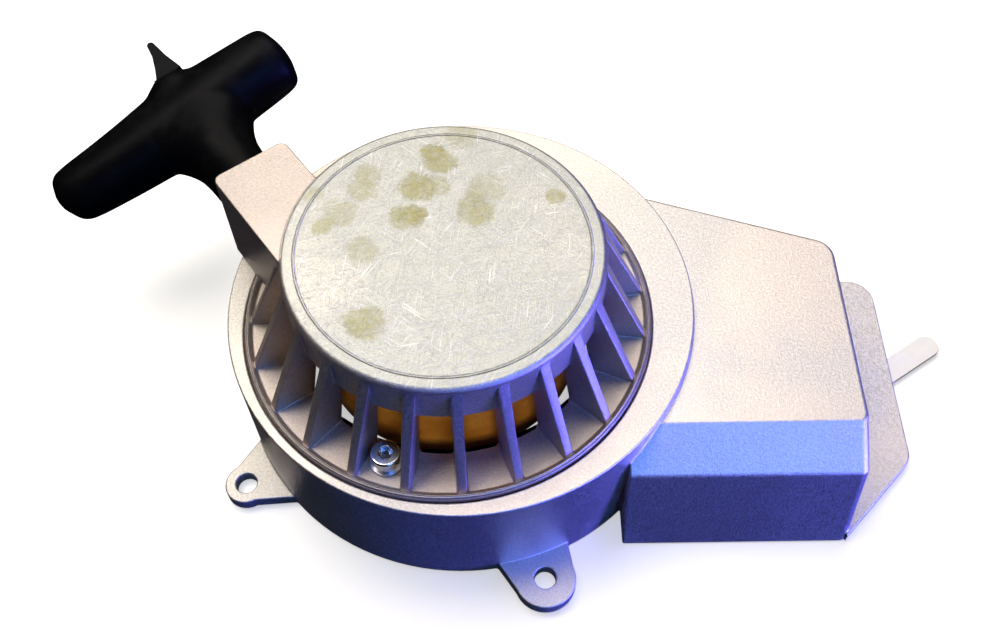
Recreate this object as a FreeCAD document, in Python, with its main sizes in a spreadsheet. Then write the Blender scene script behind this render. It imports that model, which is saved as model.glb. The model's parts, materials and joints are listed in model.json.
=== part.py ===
import FreeCAD, Part

import math
import os

import Sketcher

# A pull starter for a small two-stroke engine.
# Origin: on the reel's axis, at the face that bolts to the engine. +Z points at the round cap and
# +X runs along the air duct. Lengths are millimetres and angles are degrees.

Vector = FreeCAD.Vector
Rotation = FreeCAD.Rotation
Placement = FreeCAD.Placement
Z_AXIS = Vector(0, 0, 1)

doc = FreeCAD.newDocument("recoil_starter")

# ---------------------------------------------------------------------------------------------
# Driving dimensions

DIMENSIONS = {
    # fan shroud: an off-centre round housing with an air duct on its right
    "wall": 3.0,
    "shroud_radius": 59.7,
    "shroud_centre_x": 3.2,
    "shroud_centre_y": 4.4,
    "shroud_height": 36.0,
    "shroud_mouth": 52.0,
    "ledge_inner": 40.5,
    "duct_height": 34.0,
    "duct_end_x": 102.5,
    "duct_front_y": 48.5,
    "duct_shoulder_y": 42.0,
    "duct_shoulder_z": 27.0,
    "duct_top_y": 31.0,
    "duct_back_y": 22.4,
    "duct_root_y": 42.0,
    "duct_root_x": 44.0,
    "base_flange": 3.0,
    "flange_end_x": 122.5,
    "lug_height": 4.0,
    "lug_hole": 2.75,
    # starter cover
    "cap_radius": 38.6,
    "cap_top": 64.5,
    "cap_line": 35.0,
    "skirt_bottom": 52.8,
    "floor_inner": 39.0,
    "floor_outer": 51.6,
    "bead_height": 1.3,
    "rib_width": 2.4,
    "rib_pitch": 15.5,
    "rib_start": -178.5,
    "rib_count": 21,
    "screw_circle": 43.6,
    "screw_shaft": 2.0,
    "screw_head": 3.5,
    "post_radius": 8.0,
    "post_bottom": 34.0,
    # rope line: it leaves the reel along a tangent
    "rope_angle": 126.0,
    "rope_offset": 22.8,
    "rope_level": 49.5,
    "rope_radius": 1.5,
    "boss_width": 20.5,
    "boss_end": 51.5,
    # reel and what it carries
    "reel_radius": 33.5,
    "rim_bottom": 24.0,
    "reel_bottom": 36.0,
    "reel_top": 54.4,
    "hub_bottom": 34.8,
    "pivot_circle": 18.0,
    "pin_radius": 2.0,
    "pawl_bottom": 31.5,
    "pawl_top": 34.5,
    "guide_bottom": 28.9,
    "guide_top": 30.9,
    # handle
    "stem_radius": 8.2,
    "bar_length": 73.0,
    "bar_position": 85.5,
    "bar_offset": 5.8,
    "handle_roll": -13.0,
    "stem_start": 53.0,
    # small parts
    "centre_shaft": 2.95,
    "ferrule_radius": 4.0,
    "spring_case_radius": 30.0,
    "hub_radius": 14.5,
    "hub_top_radius": 12.2,
    "groove_bottom": 46.2,
    "bush_radius": 9.97,
    "guide_sleeve_radius": 4.5,
}

dims = doc.addObject("Spreadsheet::Sheet", "dims")
for row, (alias, value) in enumerate(DIMENSIONS.items(), start=1):
    dims.set("A%d" % row, alias)
    dims.set("B%d" % row, str(value))
    dims.setAlias("B%d" % row, alias)
doc.recompute()


def dim(alias):
    """The value of one driving dimension."""
    return float(dims.get(alias))


def text_of(value):
    """An expression that reads the sheet: aliases get the sheet's name, numbers stay as they are."""
    words = str(value).replace("(", " ( ").replace(")", " ) ").split()
    return " ".join("dims." + word if word in DIMENSIONS else word for word in words)


def number_of(value):
    """The value of the same expression, worked out from the sheet."""
    words = str(value).replace("(", " ( ").replace(")", " ) ").split()
    plain = " ".join(repr(dim(word)) if word in DIMENSIONS else word for word in words)
    return FreeCAD.Units.Quantity(plain).Value


# ---------------------------------------------------------------------------------------------
# Small helpers for bodies, sketches and features

PARTS = []


def new_body(label):
    """A body that becomes one file."""
    body = doc.addObject("PartDesign::Body", label)
    body.Label = label
    PARTS.append(body)
    return body


def plane(body, role):
    """One of the body's own origin planes, found by its role."""
    return [item for item in body.Origin.OriginFeatures if item.Role == role][0]


def new_sketch(body, name, role="XY_Plane", level=0, turn=0, shift=(0, 0)):
    """A sketch on an origin plane. Level lifts it off the plane and turn rotates it about the normal."""
    sketch = body.newObject("Sketcher::SketchObject", name)
    sketch.AttachmentSupport = [(plane(body, role), "")]
    sketch.MapMode = "FlatFace"
    rotation = Rotation(Z_AXIS, number_of(turn))
    sketch.AttachmentOffset = Placement(Vector(shift[0], shift[1], number_of(level)), rotation)
    sketch.setExpression("AttachmentOffset.Base.z", text_of(level))
    return sketch


def bind(sketch, kind, geometry, point, value):
    """One driving distance from the sketch's origin, bound to the sheet."""
    constraint = Sketcher.Constraint(kind, -1, 1, geometry, point, number_of(value))
    index = sketch.addConstraint(constraint)
    sketch.setExpression("Constraints[%d]" % index, text_of(value))


def polygon(sketch, corners):
    """A closed outline of straight lines through corners given as (x, y) expressions."""
    places = [Vector(number_of(x), number_of(y), 0) for x, y in corners]
    count = len(places)
    first = sketch.GeometryCount
    for i in range(count):
        sketch.addGeometry(Part.LineSegment(places[i], places[(i + 1) % count]))
    for i in range(count):
        following = first + (i + 1) % count
        sketch.addConstraint(Sketcher.Constraint("Coincident", first + i, 2, following, 1))
    for i, (x, y) in enumerate(corners):
        bind(sketch, "DistanceX", first + i, 1, x)
        bind(sketch, "DistanceY", first + i, 1, y)


def circle(sketch, radius, x=0, y=0):
    """A circle whose radius and centre are bound to the sheet."""
    centre = Vector(number_of(x), number_of(y), 0)
    index = sketch.addGeometry(Part.Circle(centre, Z_AXIS, number_of(radius)))
    constraint = sketch.addConstraint(Sketcher.Constraint("Radius", index, number_of(radius)))
    sketch.setExpression("Constraints[%d]" % constraint, text_of(radius))
    if x == 0 and y == 0:
        sketch.addConstraint(Sketcher.Constraint("Coincident", index, 3, -1, 1))
    else:
        bind(sketch, "DistanceX", index, 3, x)
        bind(sketch, "DistanceY", index, 3, y)


def feature(body, kind, name, profile, **settings):
    """A sketch-based feature. Text settings are expressions of the sheet."""
    item = body.newObject("PartDesign::" + kind, name)
    item.Profile = profile
    for key, value in settings.items():
        if isinstance(value, str) and key in ("Length", "Angle"):
            setattr(item, key, number_of(value))
            item.setExpression(key, text_of(value))
        else:
            setattr(item, key, value)
    return item


def pad(body, sketch, length, **settings):
    return feature(body, "Pad", sketch.Name + "_pad", sketch, Length=str(length), **settings)


def pocket(body, sketch, length, **settings):
    """Cuts from the sketch towards +Z, unless Reversed is set to False."""
    settings.setdefault("Reversed", True)
    return feature(body, "Pocket", sketch.Name + "_cut", sketch, Length=str(length), **settings)


def revolve(body, sketch, kind="Revolution", axis="V_Axis"):
    """A full turn about one of the sketch's own axes."""
    item = feature(body, kind, sketch.Name + "_turn", sketch, Angle="360")
    item.ReferenceAxis = (sketch, [axis])
    return item


def polar(body, name, originals, count, angle):
    """Copies of features about the body's Z axis. Angle is the whole span when it is under 360."""
    axis = [item for item in body.Origin.OriginFeatures if item.Role == "Z_Axis"][0]
    item = body.newObject("PartDesign::PolarPattern", name)
    item.Originals = originals
    item.Axis = (axis, [""])
    item.Angle = number_of(angle)
    item.setExpression("Angle", text_of(angle))
    item.Occurrences = int(number_of(count))
    body.Tip = item
    return item


def turned(label, outline):
    """A piece of revolution about Z from (radius, level) corners."""
    body = new_body(label)
    sketch = new_sketch(body, label + "_outline", "XZ_Plane")
    polygon(sketch, outline)
    revolve(body, sketch)
    return body


def ring(label, outer, inner, bottom, top):
    """A plain round washer, bush or sleeve."""
    return turned(label, [(inner, bottom), (outer, bottom), (outer, top), (inner, top)])


def round_edges(body, name, radius, wanted):
    """Fillets the edges that wanted(edge) picks."""
    doc.recompute()
    base = body.Tip
    edges = ["Edge%d" % (i + 1) for i, edge in enumerate(base.Shape.Edges) if wanted(edge)]
    item = body.newObject("PartDesign::Fillet", name)
    item.Base = (base, edges)
    item.Radius = radius
    doc.recompute()
    return item


def polar_point(radius, angle):
    return radius * math.cos(math.radians(angle)), radius * math.sin(math.radians(angle))


ROPE_TURN = Rotation(Z_AXIS, dim("rope_angle"))


def on_rope_line(along, across=0.0, level=0.0):
    """A point given along the rope line, across it from the reel's axis, and up."""
    return ROPE_TURN.multVec(Vector(along, across, level))


SCREW_ANGLES = [dim("rib_start") + dim("rib_pitch") * steps for steps in (4.5, 12.5, 19.5)]


# ---------------------------------------------------------------------------------------------
# Fan shroud: one casting

def make_fan_shroud():
    body = new_body("fan_shroud")

    # duct: its outline seen from above, then the slope of its front
    sketch = new_sketch(body, "duct")
    polygon(sketch, [("duct_root_x", "duct_root_y"), ("duct_root_x", "-1 * duct_front_y"),
                     ("duct_end_x", "-1 * duct_front_y"), ("duct_end_x", "duct_back_y")])
    pad(body, sketch, "duct_height")
    sketch = new_sketch(body, "duct_slope", "YZ_Plane", "duct_root_x - 1")
    polygon(sketch, [("-1 * duct_front_y", "-1"), ("-1 * duct_front_y", "0"),
                     ("-1 * duct_shoulder_y", "duct_shoulder_z"), ("-1 * duct_top_y", "duct_height"),
                     ("-1 * duct_top_y", "duct_height + 1"), ("-1 * duct_front_y - 1", "duct_height + 1"),
                     ("-1 * duct_front_y - 1", "-1")])
    pocket(body, sketch, "duct_end_x")
    end = dim("duct_end_x")
    back = dim("duct_back_y")
    round_edges(body, "duct_back_corner", 6.0,
                lambda edge: edge.BoundBox.ZLength > 20 and edge.BoundBox.YMin > back - 1
                and edge.BoundBox.XMin > end - 1)
    round_edges(body, "duct_front_corner", 2.5,
                lambda edge: edge.BoundBox.XMin > end - 0.1 and edge.BoundBox.YMax < back - 10
                and edge.BoundBox.ZLength > 1 and edge.BoundBox.YLength > 1)
    roof = dim("duct_height")
    round_edges(body, "duct_roof_edge", 1.2,
                lambda edge: edge.BoundBox.ZMin > roof - 0.1 and edge.BoundBox.XMax > end - 30)
    round_edges(body, "duct_shoulder_edge", 2.0,
                lambda edge: edge.BoundBox.XLength > 40 and edge.BoundBox.ZLength < 0.1
                and abs(edge.BoundBox.ZMin - dim("duct_shoulder_z")) < 0.5)

    # the duct's inside, with walls of one thickness
    sketch = new_sketch(body, "duct_hollow", "YZ_Plane", "duct_root_x + wall")
    polygon(sketch, [("-1 * duct_front_y + wall", "-1"), ("-1 * duct_front_y + wall", "0"),
                     ("-1 * duct_shoulder_y + wall", "duct_shoulder_z - 1.2"),
                     ("-1 * duct_top_y + 1", "duct_height - wall"),
                     ("duct_back_y - wall - 1", "duct_height - wall"), ("duct_back_y - wall - 1", "-1")])
    pocket(body, sketch, "duct_end_x - duct_root_x - wall - wall")
    sketch = new_sketch(body, "duct_back_hollow", level=-1)
    polygon(sketch, [("duct_root_x - 1", "duct_root_y - wall + 0.4"),
                     ("duct_root_x - 1", "duct_back_y - wall - 2"),
                     ("duct_end_x - wall", "duct_back_y - wall - 2"),
                     ("duct_end_x - wall", "duct_back_y - wall + 0.9")])
    pocket(body, sketch, "duct_height - wall + 1")

    # flange at the duct's foot
    sketch = new_sketch(body, "foot_flange")
    polygon(sketch, [("duct_end_x - 1", "-1 * duct_front_y"), ("flange_end_x", "-27"),
                     ("flange_end_x", "31"), ("duct_end_x - 1", "31")])
    pad(body, sketch, "base_flange")
    round_edges(body, "foot_flange_corner", 7.0,
                lambda edge: edge.BoundBox.XMin > dim("flange_end_x") - 0.1 and edge.BoundBox.ZLength > 1)
    sketch = new_sketch(body, "foot_flange_mouth", level=-1)
    polygon(sketch, [("duct_end_x - wall - 4", "-1 * duct_front_y + wall + 1"),
                     ("duct_end_x - wall", "-1 * duct_front_y + wall + 1"),
                     ("duct_end_x - wall", "duct_back_y - wall"),
                     ("duct_end_x - wall - 4", "duct_back_y - wall")])
    pocket(body, sketch, "base_flange + 1")

    sketch = new_sketch(body, "clip_slot", level=-1, turn=CLIP_ANGLE)
    slot_x, slot_y = Rotation(Z_AXIS, -CLIP_ANGLE).multVec(Vector(*CLIP_ROOT, 0))[:2]
    polygon(sketch, [("%.6f" % (slot_x - 0.2), "%.6f" % (slot_y - 3.5)),
                     ("%.6f" % (slot_x + 30), "%.6f" % (slot_y - 3.5)),
                     ("%.6f" % (slot_x + 30), "%.6f" % (slot_y + 3.5)),
                     ("%.6f" % (slot_x - 0.2), "%.6f" % (slot_y + 3.5))])
    pocket(body, sketch, "1.8 + 1")

    # round housing and lugs
    sketch = new_sketch(body, "housing")
    circle(sketch, "shroud_radius", "shroud_centre_x", "shroud_centre_y")
    pad(body, sketch, "shroud_height")
    for name, (x, y), root, radius in LUGS:
        sketch = new_sketch(body, name)
        polygon(sketch, lug_outline(x, y, root, radius))
        pad(body, sketch, "lug_height")
        sketch = new_sketch(body, name + "_eye")
        circle(sketch, str(radius), str(x), str(y))
        pad(body, sketch, "lug_height")

    # hollow for the engine's fan, the ledge the cover sits on, and the open mouth
    sketch = new_sketch(body, "fan_space", level=-1)
    circle(sketch, "shroud_radius - wall", "shroud_centre_x", "shroud_centre_y")
    pocket(body, sketch, "shroud_height - wall - wall + 1")
    sketch = new_sketch(body, "roof_space", "XZ_Plane")
    polygon(sketch, [("0", "shroud_height - wall - wall - 2"),
                     ("ledge_inner", "shroud_height - wall - wall - 2"),
                     ("ledge_inner", "shroud_height - wall"), ("shroud_mouth", "shroud_height - wall"),
                     ("shroud_mouth", "shroud_height + 1"), ("0", "shroud_height + 1")])
    revolve(body, sketch, "Groove")
    # the air passes from the fan space to the duct through the housing's wall
    sketch = new_sketch(body, "air_way", level=-1)
    polygon(sketch, [("duct_root_x - 6", "-36"), ("duct_root_x + 22", "-36"),
                     ("duct_root_x + 22", "duct_root_y - wall - 9"), ("duct_root_x - 6", "duct_root_y - wall")])
    pocket(body, sketch, "shroud_height - wall - wall + 1")

    # holes: lugs, and the three tapped holes under the cover
    for name, (x, y), root, radius in LUGS:
        sketch = new_sketch(body, name + "_hole", level=-1)
        circle(sketch, "lug_hole", str(x), str(y))
        pocket(body, sketch, "lug_height + 2")
    for i, angle in enumerate(SCREW_ANGLES):
        x, y = polar_point(dim("screw_circle") + 1.0, angle)
        sketch = new_sketch(body, "screw_pillar_%d" % i, level="shroud_height - wall - wall - 7")
        circle(sketch, "screw_head", "%.6f" % x, "%.6f" % y)
        pad(body, sketch, "7.5")
        x, y = polar_point(dim("screw_circle"), angle)
        sketch = new_sketch(body, "tapped_hole_%d" % i, level="shroud_height - wall - wall - 8")
        circle(sketch, "screw_shaft + 0.05", "%.6f" % x, "%.6f" % y)
        pocket(body, sketch, "14")
    return body


def lug_outline(x, y, root, radius):
    """A web from the lug's round eye back to the housing; root is the half width of its foot."""
    distance = math.hypot(x, y)
    ux, uy = x / distance, y / distance
    inner = 53.0
    corners = [(distance, radius), (inner, root), (inner, -root), (distance, -radius)]
    return [("%.6f" % (r * ux - side * uy), "%.6f" % (r * uy + side * ux)) for r, side in corners]


# where the wire clip's root lies in the foot flange, and which way it points
CLIP_ROOT = (115.0, -4.0)
CLIP_ANGLE = 33.0

# name, hole centre, half width of the web's foot, radius of the eye
LUGS = [
    ("lug_left", (-54.3, -31.6), 10.5, 5.6),
    ("lug_front", (23.6, -58.6), 10.0, 7.8),
    ("lug_back", polar_point(70.0, 105.0), 11.0, 6.5),
]


# ---------------------------------------------------------------------------------------------
# Starter cover: cap, skirt, ribs, floor ring, rope boss and reel post in one casting

def make_recoil_cover():
    body = new_body("recoil_cover")

    # cap and skirt, with a fine turned line near the cap's edge
    sketch = new_sketch(body, "cap", "XZ_Plane")
    polygon(sketch, [("0", "cap_top - wall"), ("cap_radius - wall", "cap_top - wall"),
                     ("cap_radius - wall", "skirt_bottom"), ("cap_radius", "skirt_bottom"),
                     ("cap_radius", "cap_top - 0.9"), ("cap_radius - 0.9", "cap_top"),
                     ("cap_line + 0.25", "cap_top"), ("cap_line", "cap_top - 0.2"),
                     ("cap_line - 0.25", "cap_top"), ("0", "cap_top")])
    revolve(body, sketch)

    # rope boss along the rope line
    low, high = "rope_offset - boss_width / 2", "rope_offset + boss_width / 2"
    sketch = new_sketch(body, "boss", level="shroud_height + 0.3", turn="rope_angle")
    polygon(sketch, [("20", low), ("boss_end", low), ("boss_end", high), ("4", high)])
    pad(body, sketch, "cap_top - shroud_height - 0.7")
    round_edges(body, "boss_corner", 2.2,
                lambda edge: edge.BoundBox.ZLength > 20 and edge.BoundBox.XLength + edge.BoundBox.YLength < 0.01
                and math.hypot(edge.BoundBox.XMin, edge.BoundBox.YMin) > 45)
    sketch = new_sketch(body, "boss_hollow", level="shroud_height + 3", turn="rope_angle")
    polygon(sketch, [("6", low + " + 2.6"), ("boss_end - 3.5", low + " + 2.6"),
                     ("boss_end - 3.5", high + " - 2.6"), ("6", high + " - 2.6")])
    pocket(body, sketch, "cap_top - wall - shroud_height - 3")
    # room for the reel
    sketch = new_sketch(body, "reel_room", "XZ_Plane")
    polygon(sketch, [("0", "shroud_height - 5"), ("cap_radius - wall", "shroud_height - 5"),
                     ("cap_radius - wall", "cap_top - wall"), ("0", "cap_top - wall")])
    revolve(body, sketch, "Groove")

    # floor ring with a raised bead at its edge
    sketch = new_sketch(body, "floor", "XZ_Plane")
    polygon(sketch, [("floor_inner", "shroud_height - wall"), ("floor_outer", "shroud_height - wall"),
                     ("floor_outer", "shroud_height + bead_height - 0.4"),
                     ("floor_outer - 0.5", "shroud_height + bead_height"),
                     ("floor_outer - 1.2", "shroud_height + bead_height"),
                     ("floor_outer - 1.9", "shroud_height"), ("floor_inner", "shroud_height")])
    revolve(body, sketch)

    # one rib, then its copies round the skirt
    sketch = new_sketch(body, "rib", "XZ_Plane")
    sketch.AttachmentOffset = Placement(Vector(), Rotation(Vector(0, 1, 0), dim("rib_start")))
    polygon(sketch, [("cap_radius - wall", "cap_top - wall - 1"), ("cap_radius - 0.4", "cap_top - 1.2"),
                     ("floor_outer - 1.7", "shroud_height + 0.8"), ("floor_outer - 1.7", "shroud_height - 1"),
                     ("floor_inner", "shroud_height - 1"), ("floor_inner", "shroud_height"),
                     ("cap_radius - wall", "skirt_bottom")])
    rib = pad(body, sketch, "rib_width")
    rib.Midplane = True
    polar(body, "ribs", [rib], "rib_count", "rib_pitch * ( rib_count - 1 )")

    # post that the reel turns on, tapped for the centre screw
    sketch = new_sketch(body, "post", level="post_bottom")
    circle(sketch, "post_radius")
    pad(body, sketch, "cap_top - wall - post_bottom + 0.5")
    sketch = new_sketch(body, "post_thread", level="post_bottom - 1")
    circle(sketch, "centre_shaft + 0.05")
    pocket(body, sketch, "17")

    # screw holes in the floor, each with a flat seat
    for i, angle in enumerate(SCREW_ANGLES):
        x, y = polar_point(dim("screw_circle"), angle)
        sketch = new_sketch(body, "screw_hole_%d" % i, level="shroud_height - wall - 1")
        circle(sketch, "screw_shaft + 0.2", "%.6f" % x, "%.6f" % y)
        pocket(body, sketch, "wall + 2")

    # hole for the rope's ferrule in the boss's end wall
    hole = body.newObject("PartDesign::SubtractiveCylinder", "ferrule_hole")
    hole.AttachmentSupport = [(plane(body, "XY_Plane"), "")]
    hole.MapMode = "FlatFace"
    hole.Radius = dim("ferrule_radius")
    hole.setExpression("Radius", "dims.ferrule_radius")
    hole.Height = 10
    start = on_rope_line(dim("boss_end") - 7, dim("rope_offset"), dim("rope_level"))
    hole.AttachmentOffset = Placement(start, Rotation(Z_AXIS, on_rope_line(1)))
    doc.recompute()
    return body


# ---------------------------------------------------------------------------------------------
# Fasteners: each kind is one node of separate solids

def group(label, shapes):
    """Identical fasteners as one object of separate solids."""
    item = doc.addObject("Part::Feature", label)
    item.Label = label
    item.Shape = Part.makeCompound(shapes)
    PARTS.append(item)
    return item


def hexagon(across_flats, bottom, height):
    """A hexagonal prism about Z."""
    corner = across_flats / math.sqrt(3)
    points = [Vector(*polar_point(corner, 60 * i), bottom) for i in range(7)]
    return Part.Face(Part.makePolygon(points)).extrude(Vector(0, 0, height))


def socket_screw(seat):
    """A socket head screw that points down from its seat, made at the origin."""
    head_height = 4.0
    shaft = Part.makeCylinder(dim("screw_shaft"), 9, Vector(0, 0, seat - 9))
    head = Part.makeCylinder(dim("screw_head"), head_height, Vector(0, 0, seat))
    rim = [edge for edge in head.Edges if edge.BoundBox.ZMin > seat + head_height - 0.1]
    head = head.makeFillet(0.5, rim)
    socket = hexagon(3.0, seat + head_height - 2.2, 3.0)
    return shaft.fuse(head).removeSplitter().cut(socket)


def make_cover_fasteners():
    floor = dim("shroud_height")
    washer_height = 0.9
    screws, washers = [], []
    for angle in SCREW_ANGLES:
        place = Vector(*polar_point(dim("screw_circle"), angle), 0)
        screw = socket_screw(floor + washer_height)
        screw.rotate(Vector(), Z_AXIS, angle)
        screw.translate(place)
        screws.append(screw)
        washer = Part.makeCylinder(dim("screw_head") + 0.5, washer_height, Vector(0, 0, floor))
        washer = washer.cut(Part.makeCylinder(dim("screw_shaft") + 0.15, 3, Vector(0, 0, floor - 1)))
        washer.translate(place)
        washers.append(washer)
    group("cover_screws", screws)
    group("cover_washers", washers)


def make_centre_screw():
    """Hexagon screw that holds reel and pawl guide on the post."""
    body = new_body("centre_screw")
    head_bottom = "guide_bottom - 5.5"
    sketch = new_sketch(body, "centre_head", level=head_bottom)
    corner = 10 / math.sqrt(3)
    polygon(sketch, [tuple("%.6f" % value for value in polar_point(corner, 60 * i)) for i in range(6)])
    pad(body, sketch, "4")
    sketch = new_sketch(body, "centre_shank", level="guide_bottom - 2")
    circle(sketch, "centre_shaft")
    pad(body, sketch, "post_bottom - guide_bottom + 15")


# ---------------------------------------------------------------------------------------------
# Spring housing under the cap

def make_spring_set():
    cap_under = "cap_top - wall"
    turned("spring_case", [("post_radius + 0.3", cap_under), ("spring_case_radius", cap_under),
                           ("spring_case_radius", cap_under + " - 5.9"),
                           ("spring_case_radius - 0.8", cap_under + " - 5.9"),
                           ("spring_case_radius - 0.8", cap_under + " - 0.8"),
                           ("post_radius + 0.3", cap_under + " - 0.8")])
    ring("spring_plate", "spring_case_radius", "hub_top_radius + 1", "reel_top + 0.6", "reel_top + 1.2")
    anchor = doc.addObject("Part::Cylinder", "spring_anchor")
    anchor.Label = "spring_anchor"
    anchor.Radius = 1.1
    anchor.setExpression("Height", "dims.cap_top - dims.wall - dims.reel_top - 2")
    anchor.Placement = Placement(Vector(dim("spring_case_radius") - 2.4, 0, dim("reel_top") + 1.2), Rotation())
    PARTS.append(anchor)
    make_recoil_spring()


def make_recoil_spring():
    """Flat spiral strip: half circles that grow by half a pitch and change centre each time."""
    inner, pitch, strip, half_turns = dim("hub_top_radius") + 0.7, 1.9, 0.55, 13
    outward, inward = [], []
    for i in range(half_turns):
        radius = inner + i * pitch / 2
        centre = Vector(pitch / 4 if i % 2 else -pitch / 4, 0, 0)
        side = -1 if i % 2 else 1
        for edges, r in ((outward, radius + strip), (inward, radius)):
            first, last = centre + Vector(side * r, 0, 0), centre + Vector(-side * r, 0, 0)
            edges.append(Part.Arc(first, centre + Vector(0, side * r, 0), last).toShape())
    caps = [Part.LineSegment(inward[0].Vertexes[0].Point, outward[0].Vertexes[0].Point).toShape(),
            Part.LineSegment(inward[-1].Vertexes[-1].Point, outward[-1].Vertexes[-1].Point).toShape()]
    outline = Part.Wire(Part.__sortEdges__(outward + inward + caps))
    strip_width = 4.3
    solid = Part.Face(outline).extrude(Vector(0, 0, strip_width))
    item = doc.addObject("Part::Feature", "recoil_spring")
    item.Label = "recoil_spring"
    item.Shape = solid
    item.Placement = Placement(Vector(0, 0, dim("reel_top") + 1.6), Rotation())
    PARTS.append(item)


# ---------------------------------------------------------------------------------------------
# Reel with its bush, rope store, knot and pawl pins

def make_reel():
    body = new_body("reel")
    sketch = new_sketch(body, "reel_outline", "XZ_Plane")
    polygon(sketch, [("bush_radius + 0.03", "hub_bottom"), ("hub_radius", "hub_bottom"),
                     ("hub_radius", "groove_bottom - 2"), ("reel_radius - 2.2", "groove_bottom - 2"),
                     ("reel_radius - 2.2", "rim_bottom"), ("reel_radius", "rim_bottom"),
                     ("reel_radius", "groove_bottom"), ("hub_radius + 0.5", "groove_bottom"),
                     ("hub_radius + 0.5", "reel_top - 1.8"), ("reel_radius", "reel_top - 1.8"),
                     ("reel_radius", "reel_top"), ("hub_top_radius", "reel_top"),
                     ("hub_top_radius", "cap_top - wall - 1.3"),
                     ("bush_radius + 0.03", "cap_top - wall - 1.3")])
    revolve(body, sketch)
    # stiffening webs under the lower flange
    sketch = new_sketch(body, "web", "XZ_Plane")
    polygon(sketch, [("hub_radius - 1", "reel_bottom + 2"), ("reel_radius - 1", "reel_bottom + 2"),
                     ("reel_radius - 1", "groove_bottom - 1"), ("hub_radius - 1", "groove_bottom - 1")])
    web = pad(body, sketch, "1.6")
    web.Midplane = True
    polar(body, "webs", [web], 8, "360")
    # pillars that hold the pawl pins, and the holes for pins and rope
    for side, sign in (("near", "-1"), ("far", "1")):
        sketch = new_sketch(body, "pillar_" + side, level="hub_bottom")
        circle(sketch, "4.2", "0", sign + " * pivot_circle")
        pad(body, sketch, "groove_bottom - hub_bottom - 1")
        sketch = new_sketch(body, "pin_hole_" + side, level="hub_bottom - 1")
        circle(sketch, "pin_radius + 0.02", "0", sign + " * pivot_circle")
        pocket(body, sketch, "9.2")
    sketch = new_sketch(body, "rope_hole", level="reel_bottom")
    circle(sketch, "rope_radius + 0.3", KNOT_X, KNOT_Y)
    pocket(body, sketch, "groove_bottom - reel_bottom + 1")

    ring("reel_bush", "bush_radius", "post_radius + 0.05", "hub_bottom + 0.1", "cap_top - wall - 1.4")
    coil = ring("rope_coil", "rope_offset + rope_radius", "hub_radius + 0.7",
                "groove_bottom + 0.3", "reel_top - 2.1")
    make_reel_knot()
    pins = []
    for sign in (-1, 1):
        centre = Vector(0, sign * dim("pivot_circle"), dim("pawl_bottom") - 0.1)
        pins.append(Part.makeCylinder(dim("pin_radius"), dim("hub_bottom") - dim("pawl_bottom") + 8, centre))
    group("pawl_pins", pins)
    return coil


KNOT_X, KNOT_Y = ("%.6f" % value for value in polar_point(18.6, 22.0))


def make_reel_knot():
    """The rope's inner end: it drops through the flange and is knotted under it."""
    under = dim("groove_bottom") - 2
    ball = Part.makeSphere(2.5, Vector(0, 0, under - 2.4))
    end = Part.makeCylinder(dim("rope_radius"), 4.8, Vector(0, 0, under - 2.5))
    item = doc.addObject("Part::Feature", "reel_knot")
    item.Label = "reel_knot"
    item.Shape = ball.fuse(end)
    item.Placement = Placement(Vector(float(KNOT_X), float(KNOT_Y), 0), Rotation())
    PARTS.append(item)


# ---------------------------------------------------------------------------------------------
# Pawls and the plate that swings them out

PEG_X, PEG_Y = 7.0, -2.0


def make_pawl(label, half_turn):
    """A flat pawl with its eye at the pivot and a peg that runs in the guide's slot."""
    body = new_body(label)
    sketch = new_sketch(body, label + "_arm", level="pawl_bottom")
    pivot = "pivot_circle"
    polygon(sketch, [("0", pivot + " + 4"), ("9", pivot + " + 1.8"), ("16.5", pivot + " - 2.9"),
                     ("18.2", pivot + " - 6.6"), ("15.5", pivot + " - 8.2"), ("8", pivot + " - 5.6"),
                     ("0", pivot + " - 4")])
    pad(body, sketch, "pawl_top - pawl_bottom")
    sketch = new_sketch(body, label + "_eye", level="pawl_bottom")
    circle(sketch, "4", "0", pivot)
    pad(body, sketch, "pawl_top - pawl_bottom")
    sketch = new_sketch(body, label + "_peg", level="guide_bottom - 0.2")
    circle(sketch, "1.3", str(PEG_X), pivot + " - %s" % -PEG_Y)
    pad(body, sketch, "pawl_bottom - guide_bottom + 0.7")
    sketch = new_sketch(body, label + "_hole", level="pawl_bottom - 1")
    circle(sketch, "pin_radius + 0.05", "0", pivot)
    pocket(body, sketch, "pawl_top - pawl_bottom + 2")
    body.Placement = Placement(Vector(), Rotation(Z_AXIS, 180.0 * half_turn))


def make_pawl_guide():
    """Round plate. As guide and pawl turn by the same angle, the peg runs along a true arc."""
    body = new_body("pawl_guide")
    sketch = new_sketch(body, "guide_plate", level="guide_bottom")
    circle(sketch, "25")
    circle(sketch, "guide_sleeve_radius + 0.06")
    pad(body, sketch, "guide_top - guide_bottom")
    sketch = new_sketch(body, "guide_slot", level="guide_bottom - 1")
    centre, radius, half_width = Vector(PEG_X, PEG_Y, 0), dim("pivot_circle"), 1.6
    first, last = math.radians(60), math.radians(93)

    def along(distance, angle):
        return centre + Vector(distance * math.cos(angle), distance * math.sin(angle), 0)

    middle = (first + last) / 2
    bulge = half_width / radius
    for start, through, end in (
            (along(radius + half_width, first), along(radius + half_width, middle),
             along(radius + half_width, last)),
            (along(radius + half_width, last), along(radius, last + bulge), along(radius - half_width, last)),
            (along(radius - half_width, last), along(radius - half_width, middle),
             along(radius - half_width, first)),
            (along(radius - half_width, first), along(radius, first - bulge),
             along(radius + half_width, first))):
        sketch.addGeometry(Part.Arc(start, through, end))
    for i in range(4):
        sketch.addConstraint(Sketcher.Constraint("Block", i))
    slot = pocket(body, sketch, "guide_top - guide_bottom + 2")
    polar(body, "guide_slots", [slot], 2, "360")
    return body


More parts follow.
